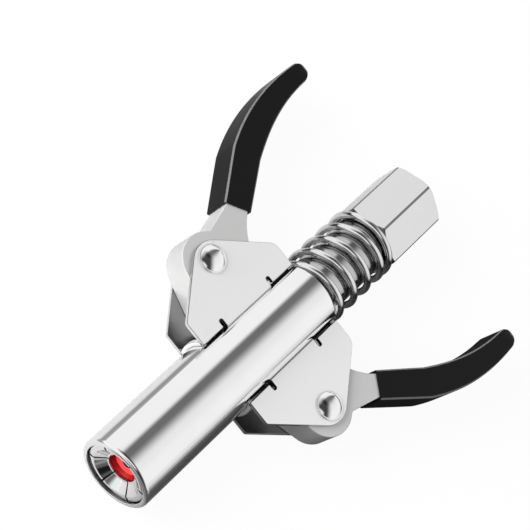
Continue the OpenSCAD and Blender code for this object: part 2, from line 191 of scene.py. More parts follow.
# %% Bright plating
def plated_finish(name, light, dull, line_height, tint=(1, 1, 1)):
    finish, shader, place = start_finish(name, Metallic=1.0)
    along = place.split()[0]
    smudge = place.noise(130, 4)
    lines = along.add("ShaderNodeTexNoise", {"noise_dimensions": "1D"},
                      {"W": along, "Scale": 5200, "Detail": 2})
    darker, brighter = ([level * t for t in tint] + [1] for level in (light - 0.04, light + 0.02))
    colour = smudge.between(darker, brighter)
    return feed(finish, shader, Base_Color=colour, Roughness=dull + 0.05 * smudge,
                Normal=lines.bump(line_height))


sleeve_chrome = plated_finish("sleeve_chrome", 0.88, 0.05, 4e-7)
hex_nickel = plated_finish("hex_nickel", 0.76, 0.20, 6e-7)
# A very dark steel: painted shade for the sleeve's bore, the lines along the hexagon's corners, and the jaws'
# hidden faces and slots.
painted_shade_steel = plated_finish("painted_shade_steel", 0.26, 0.24, 2e-6)
shank_steel = plated_finish("shank_steel", 0.52, 0.10, 1e-6)
# A dark steel: painted shade on the plates' inner faces and a painted dark line on their broken edges.
painted_shade_sheet = plated_finish("painted_shade_sheet", 0.36, 0.17, 4e-7)
# Nearly black: painted shade in the notches and along the plates' feet.
notch_painted_shade = plated_finish("notch_painted_shade", 0.06, 0.45, 2e-6)
jaw_nickel = plated_finish("jaw_nickel", 0.84, 0.07, 5e-7)
rivet_nickel = plated_finish("rivet_nickel", 0.88, 0.06, 2e-7)
sheared_edge = plated_finish("sheared_edge", 0.86, 0.10, 3e-7)

# %% [markdown]
# The brackets are stamped from sheet and plated satin. The rolling of the sheet leaves a grain along its
# length, so the noise is squeezed across the grain and long beside it.
# The levers are tumbled with small stones before plating, which leaves fine dimples with no direction.


# %% Satin sheet and tumbled steel
def satin_finish():
    finish, shader, place = start_finish("satin_sheet", Metallic=0.70)
    grain = place.noise(1, 3, place.stretched((500, 7000, 7000)))
    cloud = place.noise(70, 3)
    colour = (0.7 * cloud + 0.3 * grain).between(grey(0.85, 0.004), grey(0.89))
    return feed(finish, shader, Base_Color=colour, Roughness=0.30 + 0.12 * grain,
                Normal=grain.bump(1.2e-6))


def tumbled_finish():
    finish, shader, place = start_finish("tumbled_steel", Metallic=0.55)
    dimples = place.noise(2600, 3)
    cloud = place.noise(90, 4)
    colour = (0.6 * cloud + 0.4 * dimples).between(grey(0.52, 0.003), grey(0.58))
    return feed(finish, shader, Base_Color=colour, Roughness=0.26 + 0.14 * dimples,
                Normal=dimples.bump(4e-6))


satin_sheet = satin_finish()
tumbled_steel = tumbled_finish()

# %% [markdown]
# Spring wire is drawn through a die, which scores fine lines along the wire. The wire runs round the X axis,
# so the lines vary fast across it, in X and in the distance from the axis, and slowly with the turn.


# %% Drawn wire
def wire_finish():
    finish, shader, place = start_finish("drawn_wire", Metallic=0.97)
    x, y, z = place.split()
    radius = place.sum("POWER", y * y + z * z, 0.5)
    turn = z.angle_from(y)
    lanes = place.add("ShaderNodeCombineXYZ", None, {0: 9000 * x, 1: 9000 * radius, 2: 3 * turn})
    lines = place.noise(1, 2, lanes)
    cloud = place.noise(160, 3)
    colour = cloud.between(grey(0.70, 0.003), grey(0.80))
    return feed(finish, shader, Base_Color=colour, Roughness=0.06 + 0.08 * lines,
                Normal=lines.bump(5e-7))


drawn_wire = wire_finish()

# %% [markdown]
# The handles are dipped in liquid vinyl, which dries to a soft black skin with a faint orange peel.
# The seal is moulded red rubber, the ring on the jaws black rubber, and the hidden washers are turned brass.


# %% Vinyl, rubber and brass
def skin_finish(name, dark, light, dull, peel, height, **constants):
    finish, shader, place = start_finish(name, **constants)
    skin = place.noise(peel, 3)
    cloud = place.noise(110, 3)
    colour = (0.6 * cloud + 0.4 * skin).between(dark, light)
    return feed(finish, shader, Base_Color=colour, Roughness=dull + 0.12 * skin,
                Normal=skin.bump(height))


dipped_vinyl = skin_finish("dipped_vinyl", (0.003, 0.003, 0.0035, 1), (0.006, 0.006, 0.0065, 1),
                           0.26, 1300, 9e-6, Specular_IOR_Level=0.12)
# A lighter, glossier vinyl for the grips' cut corners: a painted highlight along their edges.
painted_highlight_vinyl = skin_finish("painted_highlight_vinyl", (0.070, 0.070, 0.072, 1), (0.120, 0.120, 0.124, 1),
                         0.22, 1300, 6e-6, Specular_IOR_Level=0.5)
red_rubber = skin_finish("red_rubber", (0.90, 0.045, 0.045, 1), (0.98, 0.085, 0.085, 1),
                         0.24, 2200, 4e-6)
# A darker red: painted shade on the seal's cup wall and outside.
painted_shade_rubber = skin_finish("painted_shade_rubber", (0.17, 0.001, 0.002, 1), (0.28, 0.003, 0.004, 1),
                           0.30, 2200, 4e-6, Specular_IOR_Level=0.2)
# Near black: painted shade in the seal's hole.
hole_painted_shade_rubber = skin_finish("hole_painted_shade_rubber", (0.010, 0.001, 0.001, 1), (0.020, 0.002, 0.002, 1),
                            0.40, 1800, 4e-6, Specular_IOR_Level=0.1)
black_rubber = skin_finish("black_rubber", (0.012, 0.012, 0.012, 1), (0.025, 0.025, 0.025, 1),
                           0.48, 2600, 6e-6)
turned_brass = plated_finish("turned_brass", 0.80, 0.20, 1e-6, (1.0, 0.76, 0.38))

# %% [markdown]
# ## Tools for the bench
# Most pieces start as a flat outline. `outline` makes one face through a few corners and rounds a corner by
# bevelling its vertex, where the corner carries a radius. `turn` spins the outline about the X axis,
# as a lathe does, and deletes the loose edge that a side on the axis leaves behind.
# `make_piece` turns the finished mesh into an object that rides on a body.


# %% Bench tools
AXIS = Vector((1, 0, 0))
ZERO = Vector((0, 0, 0))


def outline(bm, corners, segments=5):
    points = [Vector((c[0], c[1], 0)) for c in corners]
    verts = [bm.verts.new(p) for p in points]
    bm.faces.new(verts)
    for i, corner in enumerate(corners):
        if len(corner) > 2:
            before = points[i - 1] - points[i]
            after = points[(i + 1) % len(points)] - points[i]
            reach = corner[2] / math.tan(before.angle(after) / 2)
            bmesh.ops.bevel(bm, geom=[verts[i]], offset=reach, offset_type="OFFSET", segments=segments,
                            profile=0.5, affect="VERTICES", material=-1)
    bm.faces.ensure_lookup_table()
    return bm.faces[-1]


def turn(corners, steps=160, segments=5):
    bm = bmesh.new()
    face = outline(bm, corners, segments)
    bmesh.ops.delete(bm, geom=[face], context="FACES_ONLY")
    bmesh.ops.spin(bm, geom=bm.verts[:] + bm.edges[:], cent=ZERO, axis=AXIS, angle=math.tau,
                   steps=steps, use_merge=True)
    bmesh.ops.remove_doubles(bm, verts=bm.verts, dist=1e-4)
    bmesh.ops.delete(bm, geom=[e for e in bm.edges if e.is_wire], context="EDGES")
    bmesh.ops.recalc_face_normals(bm, faces=bm.faces)
    return bm


def sharp_edges(bm, degrees, edges=None):
    limit = math.radians(degrees)
    return [e for e in (edges or bm.edges) if len(e.link_faces) == 2 and e.calc_face_angle(0) > limit]


def soften(bm, edges, width, segments=2):
    return bmesh.ops.bevel(bm, geom=edges, offset=width, offset_type="OFFSET", segments=segments, profile=0.5,
                           affect="EDGES", clamp_overlap=True, material=-1)["faces"]


def paint(faces, finish):
    """Gives faces the finish with that number in the piece's list."""
    for face in faces:
        face.material_index = finish


def off_axis(face):
    return math.hypot(*face.calc_center_median().yz)


def with_parts(faces):
    """The faces with their corners and edges, each once and always in the same order."""
    corners = [v for f in faces for v in f.verts]
    edges = [e for f in faces for e in f.edges]
    return list(dict.fromkeys(corners + edges + faces))


def make_piece(bm, name, body, finishes, nodes, crease=32):
    bmesh.ops.scale(bm, vec=Vector((MM, MM, MM)), verts=bm.verts)
    mesh = bpy.data.meshes.new(name)
    bm.to_mesh(mesh)
    bm.free()
    for finish in finishes:
        mesh.materials.append(finish)
    mesh.shade_smooth()
    mesh.set_sharp_from_angle(angle=math.radians(crease))
    piece = bpy.data.objects.new(name, mesh)
    bpy.context.scene.collection.objects.link(piece)
    even = piece.modifiers.new("even_normals", "WEIGHTED_NORMAL")
    even.keep_sharp = True
    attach(piece, body)
    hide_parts(*nodes)
    print(name, "has", len(mesh.polygons), "faces and rides on", body)
    return piece


# %% [markdown]
# ## Places on the coupler
# All sizes are in millimetres, as on a drawing. X runs from the nose to the inlet, whose mouth is at zero.

# %% Places
NOSE = -120.6
SLEEVE_BACK = -47.4
HEX_FRONT = -21.7
PIVOT_X = -65.6
PIVOT_Y = 23.3
SLEEVE_R = 10.0
BORE_R = 7.9
MOUTH_R = 8.6
print("sleeve", round(SLEEVE_BACK - NOSE, 2), "mm long")

# %% [markdown]
# ## Sleeve
# The sleeve is a thick tube, turned from bar, with a rounded rim and a mouth that flares.
# Each side has a slot for a lever's lobe. The tube is spun from its wall's outline. The slot is then cut by
# slicing the walls along its four sides, deleting what lies inside, and bridging the two open loops.

# %% Sleeve
SLOT_REACH = 5.2
SLOT_HALF = 4.7
FLARE_END = NOSE + 5.4
sleeve = turn([(NOSE, MOUTH_R, 0.1), (NOSE, SLEEVE_R, 0.9), (SLEEVE_BACK, SLEEVE_R, 0.3),
               (SLEEVE_BACK, BORE_R, 0.25), (FLARE_END, BORE_R)], steps=192)
for x in (PIVOT_X - SLOT_REACH, PIVOT_X + SLOT_REACH):
    bmesh.ops.bisect_plane(sleeve, geom=sleeve.verts[:] + sleeve.edges[:] + sleeve.faces[:], dist=1e-4,
                           plane_co=(x, 0, 0), plane_no=AXIS)


def in_slot_band(face):
    centre = face.calc_center_median()
    return abs(centre.x - PIVOT_X) < SLOT_REACH and abs(centre.z) < SLOT_HALF + 1


for z in (-SLOT_HALF, SLOT_HALF):
    band = [f for f in sleeve.faces if in_slot_band(f)]
    bmesh.ops.bisect_plane(sleeve, geom=with_parts(band), dist=1e-4, plane_co=(0, 0, z), plane_no=(0, 0, 1))
inside = [f for f in sleeve.faces
          if in_slot_band(f) and abs(f.calc_center_median().z) < SLOT_HALF]
bmesh.ops.delete(sleeve, geom=inside, context="FACES")
for side in (-1, 1):
    rims = [e for e in sleeve.edges if e.is_boundary and e.verts[0].co.y * side > 0]
    bmesh.ops.bridge_loops(sleeve, edges=rims)
bmesh.ops.recalc_face_normals(sleeve, faces=sleeve.faces)
# The bore gets the dark steel, painted shade inside the tube.
paint([f for f in sleeve.faces if off_axis(f) < MOUTH_R - 0.01 and abs(f.normal.x) < 0.9], 1)
make_piece(sleeve, "sleeve_tube", "sleeve", [sleeve_chrome, painted_shade_steel], ["sleeve"])

# %% [markdown]
# ## Stem
# The stem is one turned bar. Its guide runs in the sleeve, with a groove that the lever lobes push against.
# The shank behind it shows through the spring. The front has a socket for the spigot of the jaw carrier.

# %% Stem shank
STEM_R = 7.85
STEM_FRONT = -99.8
GROOVE_X = PIVOT_X + 2.598
GROOVE_HALF = 2.35
GROOVE_FLARE = 2.6
GROOVE_R = 4.4
RELIEF = 0.6
PASSAGE_R = 1.3
SOCKET_R = 4.05
SOCKET_BACK = STEM_FRONT + 9.5
shank = turn([(STEM_FRONT, SOCKET_R), (STEM_FRONT, STEM_R, 0.4), (STEM_FRONT + 4, STEM_R),
              (STEM_FRONT + 4.6, STEM_R - RELIEF), (GROOVE_X - 9.2, STEM_R - RELIEF), (GROOVE_X - 8.6, STEM_R),
              (GROOVE_X - GROOVE_FLARE, STEM_R, 0.2), (GROOVE_X - GROOVE_HALF, STEM_R - 0.95),
              (GROOVE_X - GROOVE_HALF, GROOVE_R, 0.4), (GROOVE_X + GROOVE_HALF, GROOVE_R, 0.4),
              (GROOVE_X + GROOVE_HALF, STEM_R - 0.95), (GROOVE_X + GROOVE_FLARE, STEM_R, 0.2),
              (HEX_FRONT + 1, STEM_R), (HEX_FRONT + 1, PASSAGE_R), (SOCKET_BACK, PASSAGE_R),
              (SOCKET_BACK, SOCKET_R)], steps=128, segments=3)
paint(shank.faces, 2)
print("shank", len(shank.faces), "faces")

# %% [markdown]
# The hexagon is made as a shop makes it. A blank is turned with a chamfer at both ends, and six flats are
# milled on it, so each flat ends in the curve where plane and cone meet. The blank is a little smaller than the
# hexagon's corners, and leaves a narrow strip of the turned surface along each of them, which is duller.
# These strips and the chamfers are painted in the dark steel, as painted shade lines along the corners.

# %% Hexagon
HALF_FLATS = 9.0
STRIP_ANGLE = math.radians(28.5)
BLANK_R = HALF_FLATS / math.cos(STRIP_ANGLE)
CHAMFER = 0.55
CHAMFER_R = 9.39
INLET_R = 4.3
INLET_BOTTOM = -11
DRILL_TIP = -12.8
THREAD_DEPTH = 0.55
ROOT_R = INLET_R + THREAD_DEPTH
HEX_EDGE = 0.09
blank = turn([(HEX_FRONT, PASSAGE_R), (HEX_FRONT, CHAMFER_R), (HEX_FRONT + CHAMFER, BLANK_R),
              (-CHAMFER, BLANK_R), (0, CHAMFER_R), (0, ROOT_R + 0.35), (-0.7, ROOT_R), (INLET_BOTTOM, ROOT_R),
              (DRILL_TIP, PASSAGE_R)], steps=240)
for number in range(6):
    angle = math.radians(60 * number)
    normal = Vector((0, math.cos(angle), math.sin(angle)))
    bmesh.ops.bisect_plane(blank, geom=blank.verts[:] + blank.edges[:] + blank.faces[:], dist=1e-3,
                           plane_co=normal * HALF_FLATS, plane_no=normal, clear_outer=True)
    bmesh.ops.edgeloop_fill(blank, edges=[e for e in blank.edges if e.is_boundary])
bmesh.ops.recalc_face_normals(blank, faces=blank.faces)
flats = [f for f in blank.faces if len(f.verts) > 8 and abs(f.normal.x) < 0.01]
print("hexagon", len(flats), "flats")
soften(blank, list(dict.fromkeys(e for f in flats for e in f.edges)), HEX_EDGE)
# The strips and chamfers get the dark steel, a painted shade line along each corner.
paint([f for f in blank.faces
       if abs(f.normal.x) < 0.9 and f.calc_area() < 20 and off_axis(f) > HALF_FLATS], 1)

# %% [markdown]
# The inlet has a pipe thread. A thread is a ridge that climbs as it goes round, so a small triangle is spun
# many times about the axis with a step forward at each turn.

# %% Inlet thread
PITCH = 0.907
THREAD_TURNS = 10
THREAD_STEPS = 40
THREAD_START = -10.6
root = ROOT_R + 0.03
ridge = bmesh.new()
tooth = outline(ridge, [(THREAD_START, root), (THREAD_START + PITCH * 0.94, root),
                        (THREAD_START + PITCH * 0.56, INLET_R), (THREAD_START + PITCH * 0.38, INLET_R)])
bmesh.ops.spin(ridge, geom=[tooth], cent=ZERO, axis=AXIS, dvec=AXIS * PITCH / THREAD_STEPS,
               angle=math.tau * THREAD_TURNS, steps=THREAD_STEPS * THREAD_TURNS)
bmesh.ops.recalc_face_normals(ridge, faces=ridge.faces)


def join(target, *others):
    for other in others:
        mesh = bpy.data.meshes.new("joined")
        other.to_mesh(mesh)
        other.free()
        target.from_mesh(mesh)
        bpy.data.meshes.remove(mesh)
    return target


make_piece(join(blank, shank, ridge), "stem_bar", "stem",
           [hex_nickel, painted_shade_steel, shank_steel], ["stem"])

# %% [markdown]
# ## Main spring
# The spring is a round wire wound into four open turns, with a flat part of a turn at each end.
# A circle is spun three times: flat, climbing, and flat again. It shortens as the sleeve slides back.

# %% Main spring
WIRE_R = 0.95
WIRE_SIDES = 20
SPRING_R = STEM_R + 0.45 + WIRE_R
COIL_STEPS = 60
COIL_TURNS = 4
LEAD = 0.65
SEAT = 0.02


def coil(start, end, radius, wire_r, turns, steps, sides, lead):
    bm = bmesh.new()
    begin = Matrix.Rotation(-math.tau * lead, 4, AXIS)
    bmesh.ops.create_circle(bm, segments=sides, radius=wire_r, cap_ends=True,
                            matrix=begin @ Matrix.Translation((start + wire_r, radius, 0)))
    geom = bm.verts[:] + bm.edges[:] + bm.faces[:]
    climb = (end - start - 2 * wire_r) / (turns * steps)
    for angle, count, rise in ((math.tau * lead, round(steps * lead), 0),
                               (math.tau * turns, turns * steps, climb), (math.pi, steps // 2, 0)):
        spun = bmesh.ops.spin(bm, geom=geom, cent=ZERO, axis=AXIS, dvec=AXIS * rise, angle=angle, steps=count)
        geom = spun["geom_last"]
    bmesh.ops.recalc_face_normals(bm, faces=bm.faces)
    return bm


wound = coil(SLEEVE_BACK + SEAT, HEX_FRONT - SEAT, SPRING_R, WIRE_R, COIL_TURNS, COIL_STEPS, WIRE_SIDES, LEAD)
spring = make_piece(wound, "main_spring_coil", "stem", [drawn_wire], ["main_spring"], 50)
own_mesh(spring)

# %% [markdown]
# The check valve's spring is wound the same way, much smaller. It is hidden in the jaw carrier,
# and shortens towards the seal in front of it when the ball lifts.

# %% Check spring
CHECK_FRONT = -113.08
CHECK_BACK = -108.46
CHECK_WIRE_R = 0.22
CHECK_R = 1.7
CHECK_TURNS = 4
CHECK_STEPS = 28
CHECK_SIDES = 10
CHECK_LEAD = 0.5
tiny = coil(CHECK_FRONT, CHECK_BACK, CHECK_R, CHECK_WIRE_R, CHECK_TURNS, CHECK_STEPS, CHECK_SIDES, CHECK_LEAD)
check = make_piece(tiny, "check_spring_coil", "stem", [drawn_wire], ["check_spring"], 50)
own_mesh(check)

# %% [markdown]
# ## Jaws
# Six jaws make a split ring inside the sleeve's mouth. One jaw is the outline of its wall, spun through
# a little less than sixty degrees, closed at both ends, with every edge broken. The others are turned copies.

# %% Jaws
JAW_SWEEP = math.radians(57.3)
JAW_FRONT = NOSE + 0.6
JAW_WALL = [(JAW_FRONT, 6.92), (JAW_FRONT, 8.32), (NOSE + 7.31, 7.45), (NOSE + 13.75, 7.45),
            (NOSE + 13.75, 6.25), (NOSE + 15.25, 6.25), (NOSE + 15.25, 7.45), (NOSE + 16.1, 7.45),
            (NOSE + 16.1, 3.85), (NOSE + 12.95, 3.85), (NOSE + 12.95, 5.4), (NOSE + 3.2, 5.4),
            (NOSE + 3.2, 3.95), (NOSE + 2.6, 3.95), (NOSE + 2.6, 4.4)]
JAW_EDGE = 0.1


def by_slot(face, centre):
    """Tells whether a face lies along one of a jaw's two straight sides."""
    middle = face.calc_center_median()
    away = abs(math.remainder(math.atan2(middle.z, middle.y) - centre, math.tau))
    return away > 0.5 * JAW_SWEEP - 1.3 * JAW_EDGE / off_axis(face)


for number in range(1, 7):
    jaw = bmesh.new()
    wall = outline(jaw, JAW_WALL)
    centre = math.radians(60 * (number - 1))
    bmesh.ops.rotate(jaw, cent=ZERO, verts=jaw.verts,
                     matrix=Matrix.Rotation(centre - JAW_SWEEP / 2, 3, AXIS))
    bmesh.ops.spin(jaw, geom=[wall], cent=ZERO, axis=AXIS, angle=JAW_SWEEP, steps=20)
    bmesh.ops.recalc_face_normals(jaw, faces=jaw.faces)
    # Every face that does not face the front gets the dark steel, painted shade inside the mouth.
    paint([f for f in jaw.faces if f.normal.x > -0.2 and f.calc_center_median().x > JAW_FRONT + 0.01], 1)
    broken = soften(jaw, sharp_edges(jaw, 25), JAW_EDGE)
    # The broken edges along the slots get it too, painted shade lines between the jaws.
    paint([f for f in broken if by_slot(f, centre)], 1)
    make_piece(jaw, f"jaw_{number}_segment", f"jaw_{number}", [jaw_nickel, painted_shade_steel],
               [f"jaw_{number}"])

# %% [markdown]
# ## Seal
# The red seal is a rubber cup that presses on the fitting, with a small hole for the grease.
# It is spun from the outline of its wall. Its cup wall and outside are a darker red as painted shade, and its
# hole is near black as painted shade too, so three finishes are painted on the faces of one mesh.

# %% Seal
SEAL_FRONT = NOSE + 3.35
SEAL_STEP = SEAL_FRONT + 0.95
SEAL_BACK = SEAL_FRONT + 3.15
SEAL_R = 4.4
SEAL_NECK_R = 4.15
SEAL_HOLE_R = 1.2
CUP_MOUTH_R = 3.9
CUP_R = 3.3
CUP_FLOOR = SEAL_FRONT + 1.1
cup = turn([(SEAL_FRONT, CUP_MOUTH_R, 0.1), (SEAL_FRONT, SEAL_NECK_R, 0.08), (SEAL_STEP, SEAL_NECK_R),
            (SEAL_STEP, SEAL_R), (SEAL_BACK, SEAL_R), (SEAL_BACK, SEAL_HOLE_R),
            (CUP_FLOOR - 0.1, SEAL_HOLE_R, 0.05), (CUP_FLOOR, CUP_R, 0.3)], steps=96)
# The cup wall and outside get the darker red, painted shade.
paint([f for f in cup.faces if off_axis(f) > CUP_R], 1)
# The hole gets the near black, painted shade.
paint([f for f in cup.faces if off_axis(f) < SEAL_HOLE_R + 0.06], 2)
make_piece(cup, "seal_cup", "stem", [red_rubber, painted_shade_rubber, hole_painted_shade_rubber], ["seal"])

# %% [markdown]
# ## Brackets
# Each bracket is stamped: two plates with a crown over the rivet, joined by a strap at both ends that hugs
# the sleeve. Notches stand beside the tab that is welded on. A plate is its outline with rounded corners,
# pulled up by the sheet's thickness, and its edges are broken a little, so they catch the light.

# %% Bracket outline
SHEET = 1.2
PLATE_LOW = 4.6
FRONT_END = PIVOT_X - 17.4
REAR_END = PIVOT_X + 17.8
TAB_HALF = 8.65
TAB_FRONT = PIVOT_X - TAB_HALF
TAB_REAR = PIVOT_X + TAB_HALF
TAB_FOOT = 8.4
NOTCH = 1.2
NOTCH_END = 11.0
NOTCH_ROUND = 0.55
NOTCH_TOP = 11.1
PLATE_FOOT = 9.0
PLATE = [(FRONT_END, PLATE_FOOT), (FRONT_END, 15.58, 0.8), (-65.706, 29.685, 6.1), (REAR_END, 15.875, 3.0),
         (REAR_END, PLATE_FOOT), (TAB_REAR + NOTCH, PLATE_FOOT), (TAB_REAR + NOTCH, NOTCH_END, NOTCH_ROUND),
         (TAB_REAR, NOTCH_END, NOTCH_ROUND), (TAB_REAR, TAB_FOOT), (TAB_FRONT, TAB_FOOT),
         (TAB_FRONT, NOTCH_END, NOTCH_ROUND), (TAB_FRONT - NOTCH, NOTCH_END, NOTCH_ROUND),
         (TAB_FRONT - NOTCH, PLATE_FOOT)]
print("plate outline has", len(PLATE), "corners")


def raise_face(bm, face, height):
    raised = bmesh.ops.extrude_face_region(bm, geom=[face])["geom"]
    corners = [g for g in raised if isinstance(g, bmesh.types.BMVert)]
    bmesh.ops.translate(bm, vec=(0, 0, height), verts=corners)


def in_foot(face):
    """Tells whether a face belongs to the notches or the edge along the weld."""
    centre = face.calc_center_median()
    return abs(face.normal.z) < 0.9 and centre.y < NOTCH_TOP and FRONT_END + 0.2 < centre.x < REAR_END - 0.2


# %% [markdown]
# The rivet goes through a hole in each plate. Filling a whole plate round a hole would leave long thin
# triangles, which shade badly. So each broad face is cut by four lines round a small square that the rivet's
# foot covers, only the square is filled round a circle, and a bridge between the circles makes the wall.


# %% Rivet hole
HOLE_R = 2.42
HOLE_STEPS = 48
HOLE_SQUARE = 2.6


def broad_faces(plate):
    return [f for f in plate.faces if abs(f.normal.z) > 0.999]


def drill(plate):
    """Makes the rivet's hole through both broad faces of a plate."""
    pivot = Vector((PIVOT_X, PIVOT_Y, 0))
    for across in (Vector((1, 0, 0)), Vector((0, 1, 0))):
        for step in (-HOLE_SQUARE, HOLE_SQUARE):
            bmesh.ops.bisect_plane(plate, geom=with_parts(broad_faces(plate)), dist=1e-4,
                                   plane_co=pivot + across * step, plane_no=across)
    squares = [f for f in broad_faces(plate) if (f.calc_center_median() - pivot).xy.length < 0.01]
    circles = []
    for face in squares:
        finish, normal, rim = face.material_index, face.normal.copy(), list(face.edges)
        height = face.calc_center_median().z
        bmesh.ops.create_circle(plate, segments=HOLE_STEPS, radius=HOLE_R,
                                matrix=Matrix.Translation((PIVOT_X, PIVOT_Y, height)))
        circle = [e for e in plate.edges if e.is_wire]
        bmesh.ops.delete(plate, geom=[face], context="FACES_ONLY")
        filled = bmesh.ops.triangle_fill(plate, edges=rim + circle, normal=normal, use_beauty=True)["geom"]
        paint([g for g in filled if isinstance(g, bmesh.types.BMFace)], finish)
        circles += circle
    paint(bmesh.ops.bridge_loops(plate, edges=circles)["faces"], 2)
    bmesh.ops.recalc_face_normals(plate, faces=plate.faces)


print("rivet holes of", round(2 * HOLE_R, 2), "mm")

# %% [markdown]
# One function makes a bracket from two plates and two straps. The right one is the left one mirrored,
# so its faces are turned outwards again.


# %% Brackets
STRAP = 1.3
STRAP_EDGE = 0.14
PLATE_EDGE = 0.12


def bracket(side):
    bm = bmesh.new()
    for low in (PLATE_LOW, -PLATE_LOW - SHEET):
        plate = bmesh.new()
        face = outline(plate, PLATE, 10)
        bmesh.ops.translate(plate, vec=(0, 0, low), verts=plate.verts)
        raise_face(plate, face, SHEET)
        bmesh.ops.recalc_face_normals(plate, faces=plate.faces)
        paint([f for f in plate.faces if abs(f.normal.z) < 0.5], 1)
        # The inner faces get the dark steel, painted shade between the plates.
        paint([f for f in plate.faces if abs(abs(f.calc_center_median().z) - PLATE_LOW) < 0.01], 2)
        # The notches and the edges along the foot get the near black, painted shade where the plate meets the
        # sleeve.
        paint([f for f in plate.faces if in_foot(f)], 3)
        # The broken edges get it too, a painted dark line round each plate.
        broken = soften(plate, sharp_edges(plate, 40), PLATE_EDGE)
        paint(broken, 2)
        paint([f for f in broken if in_foot(f)], 3)
        paint([f for f in plate.faces if in_foot(f) and f.calc_center_median().y < PLATE_FOOT - 0.3], 1)
        drill(plate)
        join(bm, plate)
    for start in (FRONT_END, REAR_END - STRAP):
        strap = bmesh.new()
        strip = outline(strap, [(start, SLEEVE_R + SEAT), (start + STRAP, SLEEVE_R + SEAT),
                                (start + STRAP, SLEEVE_R + SHEET), (start, SLEEVE_R + SHEET)])
        reach = math.asin((PLATE_LOW + 0.5 * SHEET) / (SLEEVE_R + 0.5 * SHEET))
        bmesh.ops.rotate(strap, cent=ZERO, verts=strap.verts, matrix=Matrix.Rotation(-reach, 3, AXIS))
        bmesh.ops.spin(strap, geom=[strip], cent=ZERO, axis=AXIS, angle=2 * reach, steps=24)
        bmesh.ops.recalc_face_normals(strap, faces=strap.faces)
        paint(soften(strap, sharp_edges(strap, 40), STRAP_EDGE), 1)
        join(bm, strap)
    if side < 0:
        bmesh.ops.scale(bm, vec=Vector((1, -1, 1)), verts=bm.verts)
        bmesh.ops.recalc_face_normals(bm, faces=bm.faces)
    return bm


for word, side in (("left", 1), ("right", -1)):
    make_piece(bracket(side), f"{word}_bracket_plates", "sleeve",
               [satin_sheet, sheared_edge, painted_shade_sheet, notch_painted_shade], [f"{word}_bracket"])

# %% [markdown]
# ## Rivets
# A rivet holds each lever. Its head is a low dome on a thin round foot. The outline is spun about X like the
# rest, and the turned piece is then stood up along Z at the pivot.

# %% Rivets
PLATE_TOP = PLATE_LOW + SHEET
RIVET_R = 2.4
FOOT_R = 3.8
FOOT = 0.5
DOME_R = 3.4
DOME = 1.2
DOME_STEPS = 12
BALL_R = (DOME_R ** 2 + DOME ** 2) / (2 * DOME)
top = PLATE_TOP + FOOT + DOME
lean = math.asin(DOME_R / BALL_R)
for word, side in (("left", 1), ("right", -1)):
    foot = [(0, 0), (0, RIVET_R), (PLATE_TOP, RIVET_R), (PLATE_TOP, FOOT_R, 0.1),
            (PLATE_TOP + FOOT, FOOT_R, 0.2)]
    dome = [(top - BALL_R * (1 - math.cos(a)), BALL_R * math.sin(a))
            for a in (lean * (1 - k / DOME_STEPS) for k in range(DOME_STEPS))]
    rivet = turn(foot + dome + [(top, 0)], steps=96)
    bmesh.ops.delete(rivet, geom=[f for f in rivet.faces if abs(f.calc_center_median().x) < 1e-4],
                     context="FACES")
    bmesh.ops.mirror(rivet, geom=rivet.verts[:] + rivet.edges[:] + rivet.faces[:], axis="X", merge_dist=1e-3)
    bmesh.ops.recalc_face_normals(rivet, faces=rivet.faces)
    bmesh.ops.transform(rivet, verts=rivet.verts,
                        matrix=Matrix.Translation((PIVOT_X, PIVOT_Y * side, 0))
                        @ Matrix.Rotation(-math.pi / 2, 4, "Y"))
    make_piece(rivet, f"{word}_rivet_domed", "sleeve", [rivet_nickel], [f"{word}_rivet"])

# %% [markdown]
# ## Levers
# A lever is cut from thick plate: a round head on the rivet, a lobe that reaches into the stem's groove,
# and a handle. The solid model already has that outline, so a copy of its mesh is merged, its flat triangles
# are joined into whole faces, and the outer edges are broken as tumbling does.

# %% Levers
LEVER_EDGE = 0.3
for word in ("left", "right"):
    lever = bmesh.new()
    lever.from_mesh(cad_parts[f"{word}_lever"].data)
    bmesh.ops.scale(lever, vec=Vector((1 / MM, 1 / MM, 1 / MM)), verts=lever.verts)
    bmesh.ops.remove_doubles(lever, verts=lever.verts, dist=1e-3)
    bmesh.ops.dissolve_limit(lever, angle_limit=math.radians(0.5), verts=lever.verts, edges=lever.edges)
    rims = [e for e in sharp_edges(lever, 50)
            if abs(e.verts[0].co.z - e.verts[1].co.z) < 1e-3]
    soften(lever, rims, LEVER_EDGE, 3)
    make_piece(lever, f"{word}_lever_plate", f"{word}_lever", [tumbled_steel],
               [f"{word}_lever"])

# %% [markdown]
# ## Grips
# The vinyl coat is a sock that follows the handle's curve. One ring with broken corners is pushed along the
# handle: each step extrudes the open ring and moves the new ring to the next station.
# The outside and the inside are pushed the same way, and a bridge between their first rings makes the rim.

# %% Grip stations
HANDLE_START = Vector((16.3, 5.4))
HANDLE_CURVE = [Vector(p) for p in ((29, 14.3), (36.5, 18.3), (46, 22), (60, 22.1))]
START_HALF = 3.9
START_GROWS = 0.25
CURVE_HALF = 4.15
CURVE_TAPER = 1.95
INNER_SWELL = 0.5
GRIP_HALF = 5.05
COAT = 0.8
STATIONS = 18
TIP_STEPS = 12
CURVE_END = 0.955
TIP_REACH = 1.22


def on_curve(t):
    a, b, c, d = HANDLE_CURVE
    place = a * (1 - t) ** 3 + b * 3 * t * (1 - t) ** 2 + c * 3 * t * t * (1 - t) + d * t ** 3
    way = (b - a) * (1 - t) ** 2 + (c - b) * 2 * t * (1 - t) + (d - c) * t * t
    way.normalize()
    wider = INNER_SWELL * t ** 4
    return place - wider * Vector((-way.y, way.x)), way, CURVE_HALF - CURVE_TAPER * t * t + wider


